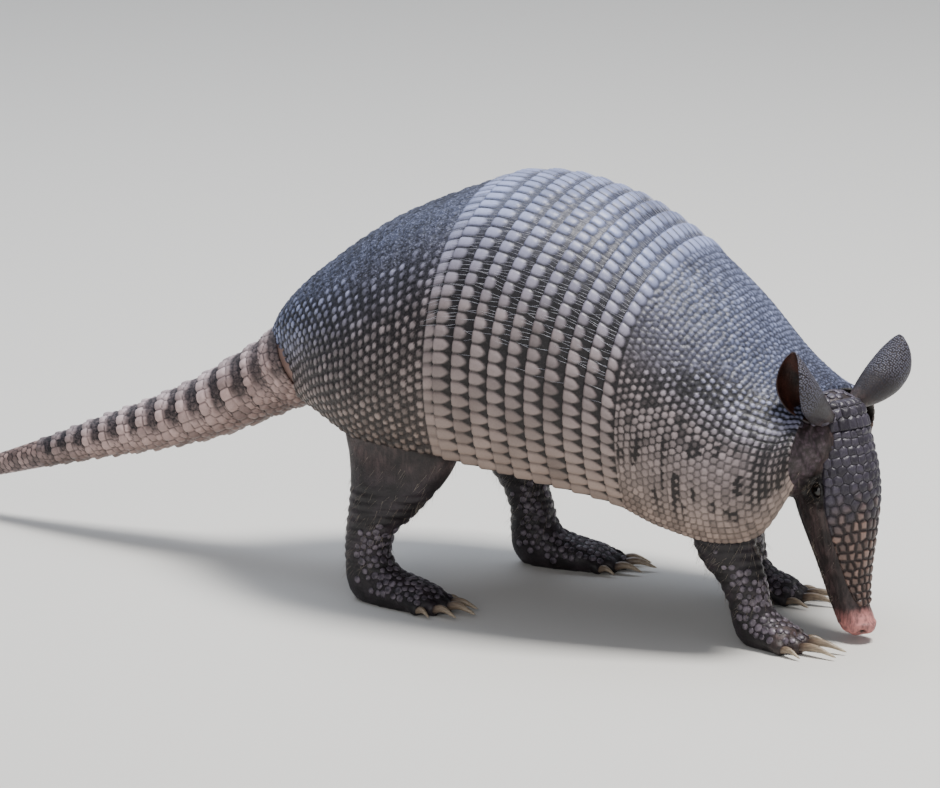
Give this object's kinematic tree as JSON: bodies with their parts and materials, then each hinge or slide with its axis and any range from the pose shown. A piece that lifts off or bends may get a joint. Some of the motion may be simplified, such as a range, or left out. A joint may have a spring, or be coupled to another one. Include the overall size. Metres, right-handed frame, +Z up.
{
  "type": "nine-banded armadillo",
  "caption": "Life-size standing figure of a nine-banded armadillo, walking with its nose lowered to the ground, tail trailing behind.",
  "frame": {"origin": "middle of the bounding box in X and Y, at the level of the soles in Z", "axes": "+X towards the animal's front, +Y towards its left side, +Z up"},
  "size_m": [0.5802, 0.167, 0.2203],
  "materials": {
    "shield": "horny scutes, half gloss",
    "band": "horny scutes in overlapping rows, half gloss",
    "skin": "wrinkled, scaly bare skin",
    "eye": "wet gloss",
    "claw": "worn horn",
    "tail_armour": "rings of horny scales"
  },
  "bodies": {
    "root": {"pelvic_shield": "shield", "scapular_shield": "shield", "frontal_shield": "shield", "nuchal_plate": "shield", "band_1": "band", "band_2": "band", "band_3": "band", "band_4": "band", "band_5": "band", "band_6": "band", "band_7": "band", "band_8": "band", "band_9": "band", "trunk": "skin", "neck": "skin", "head": "skin", "ear_right": "skin", "ear_left": "skin", "hind_leg_right": "skin", "hind_leg_left": "skin", "hind_foot_right": "skin", "hind_foot_left": "skin", "fore_leg_right": "skin", "fore_leg_left": "skin", "fore_foot_right": "skin", "fore_foot_left": "skin", "eye_right": "eye", "eye_left": "eye", "hind_claw_right_1": "claw", "hind_claw_right_2": "claw", "hind_claw_right_3": "claw", "hind_claw_right_4": "claw", "hind_claw_right_5": "claw", "hind_claw_left_1": "claw", "hind_claw_left_2": "claw", "hind_claw_left_3": "claw", "hind_claw_left_4": "claw", "hind_claw_left_5": "claw", "fore_claw_right_1": "claw", "fore_claw_right_2": "claw", "fore_claw_right_3": "claw", "fore_claw_right_4": "claw", "fore_claw_left_1": "claw", "fore_claw_left_2": "claw", "fore_claw_left_3": "claw", "fore_claw_left_4": "claw", "tail_ring_1": "tail_armour", "tail_ring_2": "tail_armour", "tail_ring_3": "tail_armour", "tail_ring_4": "tail_armour", "tail_ring_5": "tail_armour", "tail_ring_6": "tail_armour", "tail_ring_7": "tail_armour", "tail_ring_8": "tail_armour", "tail_ring_9": "tail_armour", "tail_ring_10": "tail_armour", "tail_ring_11": "tail_armour", "tail_ring_12": "tail_armour", "tail_tip": "tail_armour"}
  },
  "joints": []
}
